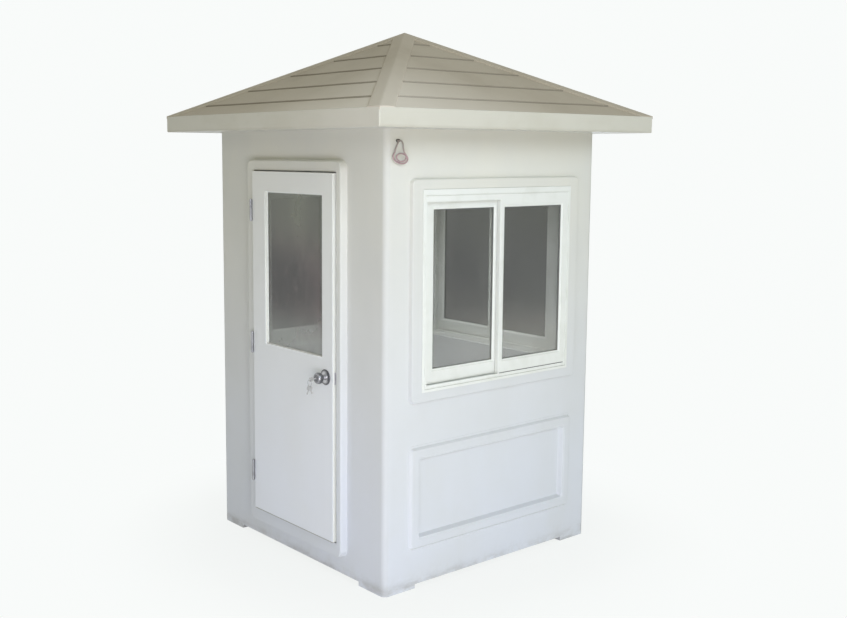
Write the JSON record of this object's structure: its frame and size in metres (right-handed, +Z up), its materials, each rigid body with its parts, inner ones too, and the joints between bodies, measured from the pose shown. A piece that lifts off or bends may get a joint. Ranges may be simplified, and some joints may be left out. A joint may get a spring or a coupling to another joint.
{
  "type": "security guard booth",
  "caption": "Moulded square guard booth with stepped hipped roof, half-glazed outward-opening door with knob lock, sliding windows and moulded panels on the other walls.",
  "frame": {"origin": "on the ground under the middle of the booth", "axes": "+Z up, -Y out of the front wall that holds the door, +X out of the right wall"},
  "size_m": [1.774, 1.774, 2.606],
  "materials": {
    "shell": "satin moulded glass-fibre gelcoat, off-white",
    "floor": "matt grey floor covering",
    "door_white": "satin white",
    "glass": "clear float glass with a slight grey tint",
    "hardware_steel": "brushed stainless steel",
    "key_brass": "worn nickel-brass",
    "window_white": "white powder coat, semi-gloss",
    "soffit": "satin off-white",
    "fascia": "satin cream gelcoat",
    "roof": "matt taupe gelcoat with dust and weather streaks",
    "wire": "dull red-brown sheath",
    "bush": "matt black"
  },
  "bodies": {
    "cabin": {"corner_feet": "shell", "corner_posts": "shell", "front_wall_left": "shell", "front_wall_right": "shell", "front_wall_head": "shell", "front_wall_sill": "shell", "right_wall": "shell", "left_wall": "shell", "back_wall": "shell", "floor_slab": "floor", "door_stops": "door_white", "window_glass_right": "glass", "window_glass_left": "glass", "window_glass_back": "glass", "hinge_fixed_leaves": "hardware_steel", "hinge_pins": "hardware_steel", "strike_plate": "hardware_steel", "window_frame_right": "window_white", "window_frame_left": "window_white", "window_frame_back": "window_white", "window_sashes_right": "window_white", "window_sashes_left": "window_white", "window_sashes_back": "window_white", "soffit_panel": "soffit", "roof_fascia": "fascia", "roof_slope_front": "roof", "roof_slope_right": "roof", "roof_slope_back": "roof", "roof_slope_left": "roof", "hip_capping": "roof", "wire_loop": "wire", "wire_bush": "bush"},
    "door": {"door_leaf": "door_white", "door_glass": "glass", "hinge_moving_leaves": "hardware_steel", "latch_faceplate": "hardware_steel", "lock_roses": "hardware_steel"},
    "knob_outside": {"outer_knob": "hardware_steel", "lock_key": "key_brass", "key_ring": "hardware_steel", "spare_keys": "hardware_steel"},
    "knob_inside": {"inner_knob": "hardware_steel"}
  },
  "joints": [
    {"name": "door_swing", "type": "hinge", "parent": "cabin", "child": "door", "pos_m": [-0.3025, -0.742, 0], "axis": [0, 0, -1], "range_deg": [0, 170]},
    {"name": "outer_knob_turn", "type": "hinge", "parent": "door", "child": "knob_outside", "pos_m": [0.313, -0.7355, 0.962], "axis": [0, -1, 0], "range_deg": [-60, 60], "stiffness_Nm_per_rad": 0.2},
    {"name": "inner_knob_turn", "type": "hinge", "parent": "door", "child": "knob_inside", "pos_m": [0.313, -0.6955, 0.962], "axis": [0, 1, 0], "range_deg": [-60, 60], "stiffness_Nm_per_rad": 0.2}
  ]
}
